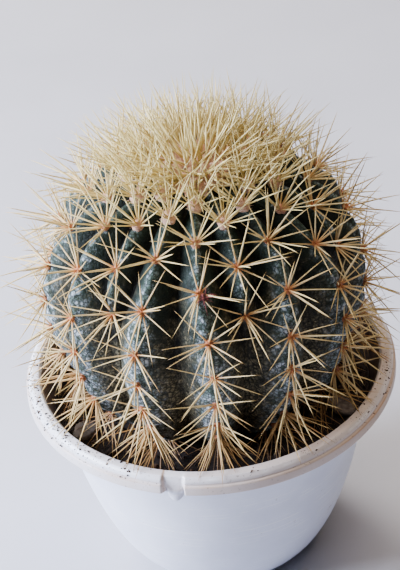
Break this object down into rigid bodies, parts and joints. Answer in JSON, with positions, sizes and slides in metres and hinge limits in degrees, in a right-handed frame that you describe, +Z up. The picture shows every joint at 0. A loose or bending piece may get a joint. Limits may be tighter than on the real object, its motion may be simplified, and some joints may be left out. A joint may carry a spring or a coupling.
{
  "type": "potted round cactus",
  "caption": "Round ribbed cactus with clusters of long straw-coloured spines and a dense spiny crown, growing in a white plastic pot with a turned-down rim.",
  "frame": {"origin": "centre of the pot's flat base, on the surface that it stands on", "axes": "+Z up; -Y is the front, the side that the picture shows; +X is to the right in the picture"},
  "size_m": [0.2173, 0.2093, 0.274],
  "materials": {
    "pot_plastic": "satin",
    "potting_soil": "matte",
    "cactus_skin": "matte",
    "cactus_spines": "satin",
    "stone": "matte"
  },
  "bodies": {
    "root": {"pot": "pot_plastic", "soil": "potting_soil", "cactus_stem": "cactus_skin", "cactus_crown": "cactus_spines", "stone_chip_left": "stone", "stone_chip_right": "stone"}
  },
  "joints": []
}
